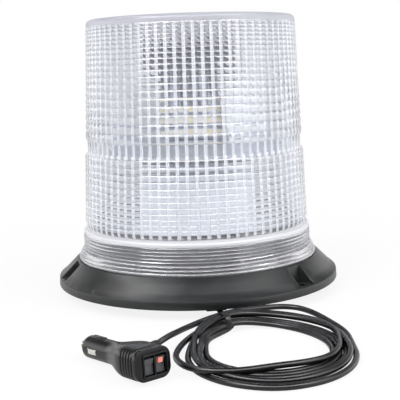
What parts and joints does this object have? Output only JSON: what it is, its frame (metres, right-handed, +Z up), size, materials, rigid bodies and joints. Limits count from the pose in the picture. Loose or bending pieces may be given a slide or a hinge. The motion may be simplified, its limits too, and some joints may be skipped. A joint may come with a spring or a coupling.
{
  "type": "rotating beacon",
  "caption": "Warning beacon with a clear ribbed lens over turning mirrors and a lamp column, on a magnet foot, with a coiled cord and a switched vehicle plug.",
  "frame": {"origin": "centre of the foot, on the surface that the beacon stands on", "axes": "+Z up along the lens, -Y towards the side the cable leaves, +X to that side's right"},
  "size_m": [0.1852, 0.3021, 0.176],
  "materials": {
    "black_abs": "fine satin texture",
    "white_abs": "smooth",
    "black_moulding": "satin",
    "clear_polycarbonate": "clear, polished",
    "black_rubber": "matt",
    "zinc_steel": "zinc plated",
    "bearing_steel": "ground",
    "ferrite": "sintered",
    "circuit_board": "solder mask",
    "electronic_parts": "moulded",
    "red_wire": "insulation",
    "anodised_aluminium": "blue-grey anodised",
    "led_carrier": "white solder mask",
    "phosphor": "yellow phosphor",
    "acetal": "natural",
    "mirror_chrome": "vacuum metallised",
    "brass": "machined",
    "nickel_plate": "nickel plated",
    "plug_black": "satin",
    "rocker_grey": "satin",
    "indicator_orange": "translucent",
    "fuse_glass": "clear",
    "cable_black": "satin sheath"
  },
  "bodies": {
    "base": {"base_housing": "black_abs", "base_plate": "black_moulding", "base_seal": "black_rubber", "plate_screws": "zinc_steel", "suction_cup": "black_rubber", "magnet_pot": "zinc_steel", "magnet": "ferrite", "magnet_bolt": "zinc_steel", "cable_grommet": "black_rubber", "chassis_plate": "white_abs", "chassis_screws": "zinc_steel", "lens_gasket": "black_rubber", "driver_board": "circuit_board", "board_parts": "electronic_parts", "board_screws": "zinc_steel", "supply_wires": "red_wire", "motor_pedestal": "white_abs", "pedestal_screws": "zinc_steel", "drive_motor": "zinc_steel", "motor_screws": "zinc_steel", "lamp_post": "zinc_steel", "post_nut": "zinc_steel", "bearing_inner_race": "bearing_steel", "heat_sink": "anodised_aluminium", "led_ring": "led_carrier", "led_chips": "phosphor", "top_cap": "black_moulding", "cap_screw": "zinc_steel", "plug_shell_upper": "plug_black", "plug_shell_lower": "plug_black", "plug_bezel": "plug_black", "rocker_axle": "zinc_steel", "switch_block": "electronic_parts", "plug_nose": "plug_black", "tip_spring": "zinc_steel", "fuse": "fuse_glass", "plug_screw": "zinc_steel", "plug_strain_relief": "black_rubber", "cord_base_lead": "cable_black", "cord_coil": "cable_black", "cord_plug_lead": "cable_black", "cord_tie": "cable_black"},
    "lens": {"lens": "clear_polycarbonate"},
    "rotor": {"rotor_gear": "acetal", "turntable": "anodised_aluminium", "bearing_outer_race": "bearing_steel", "bearing_balls": "bearing_steel", "reflector_left": "mirror_chrome", "reflector_right": "mirror_chrome", "reflector_screws": "zinc_steel", "gear_screws": "zinc_steel"},
    "pinion": {"motor_pinion": "brass", "motor_shaft": "zinc_steel"},
    "left_switch": {"rocker_left": "rocker_grey"},
    "right_switch": {"rocker_right": "rocker_grey", "indicator_lens": "indicator_orange"},
    "contact_pin": {"tip_contact": "nickel_plate"},
    "left_side_contact": {"side_contact_left": "nickel_plate"},
    "right_side_contact": {"side_contact_right": "nickel_plate"}
  },
  "joints": [
    {"name": "lens_lift", "type": "slide", "parent": "base", "child": "lens", "axis": [0, 0, 1], "range_m": [0, 0.19]},
    {"name": "rotor_spin", "type": "hinge", "parent": "base", "child": "rotor", "pos_m": [0, 0, 0.085], "axis": [0, 0, 1], "continuous": true},
    {"name": "pinion_spin", "type": "hinge", "parent": "base", "child": "pinion", "pos_m": [0.01385, 0.01978, 0.079], "axis": [0, 0, 1], "continuous": true},
    {"name": "left_rocker_press", "type": "hinge", "parent": "base", "child": "left_switch", "pos_m": [-0.02652, -0.19207, 0.00881], "axis": [0.7859, 0.6184, 0], "range_deg": [-14, 0], "stiffness_Nm_per_rad": 0.02},
    {"name": "right_rocker_press", "type": "hinge", "parent": "base", "child": "right_switch", "pos_m": [-0.02141, -0.18805, 0.00881], "axis": [0.7859, 0.6184, 0], "range_deg": [-14, 0]},
    {"name": "tip_press", "type": "slide", "parent": "base", "child": "contact_pin", "axis": [0.6168, -0.7838, 0.0719], "range_m": [0, 0.0015], "stiffness_N_per_m": 1500, "deforming": ["tip_spring"]},
    {"name": "left_contact_press", "type": "slide", "parent": "base", "child": "left_side_contact", "axis": [0.7859, 0.6184, 0], "range_m": [0, 0.0004], "stiffness_N_per_m": 1500},
    {"name": "right_contact_press", "type": "slide", "parent": "base", "child": "right_side_contact", "axis": [-0.7859, -0.6184, 0], "range_m": [0, 0.0004], "stiffness_N_per_m": 1500}
  ],
  "couplings": [
    {"joint": "pinion_spin", "follows": "rotor_spin", "ratio": -4}
  ]
}
